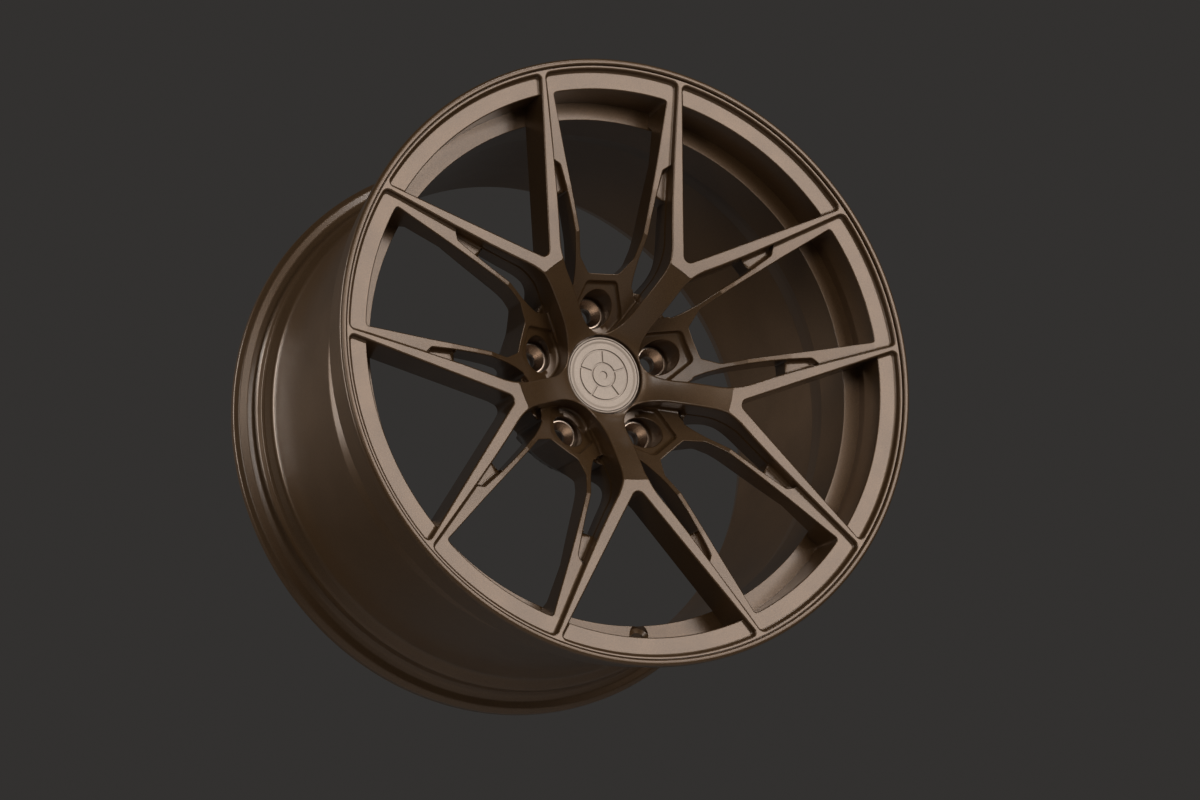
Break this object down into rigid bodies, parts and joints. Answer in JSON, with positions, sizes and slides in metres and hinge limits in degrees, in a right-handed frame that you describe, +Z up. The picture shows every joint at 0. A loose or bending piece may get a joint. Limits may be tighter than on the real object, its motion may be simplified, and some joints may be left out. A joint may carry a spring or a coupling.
{
  "type": "forged racing wheel rim",
  "caption": "Forged monoblock racing wheel rim: deep barrel with drop centre, forked spokes, seated lug pockets and a pull-off centre cap, in satin bronze.",
  "frame": {"origin": "on the wheel's axis, midway between the outer faces of the two flanges", "axes": "Y along the wheel's axis with the street side towards -Y and the hub pad facing +Y, +Z up through the first lug, valve hole at the bottom"},
  "size_m": [0.4966, 0.283, 0.4966],
  "materials": {
    "bronze_paint": "satin",
    "seat_metal": "satin",
    "cap_paint": "satin",
    "spring_steel": "polished"
  },
  "bodies": {
    "wheel": {"front_flange": "bronze_paint", "drop_centre": "bronze_paint", "barrel_wall": "bronze_paint", "rear_flange": "bronze_paint", "hub_centre": "bronze_paint", "forked_spoke_1": "bronze_paint", "forked_spoke_2": "bronze_paint", "forked_spoke_3": "bronze_paint", "forked_spoke_4": "bronze_paint", "forked_spoke_5": "bronze_paint", "lug_frame_1": "bronze_paint", "lug_frame_2": "bronze_paint", "lug_frame_3": "bronze_paint", "lug_frame_4": "bronze_paint", "lug_frame_5": "bronze_paint", "lug_seat_1": "seat_metal", "lug_seat_2": "seat_metal", "lug_seat_3": "seat_metal", "lug_seat_4": "seat_metal", "lug_seat_5": "seat_metal"},
    "cap": {"cap_body": "cap_paint", "cap_badge": "cap_paint", "cap_spring_ring": "spring_steel"}
  },
  "joints": [
    {"name": "cap_pull", "type": "slide", "parent": "wheel", "child": "cap", "axis": [0, -1, 0], "range_m": [0, 0.12]}
  ]
}
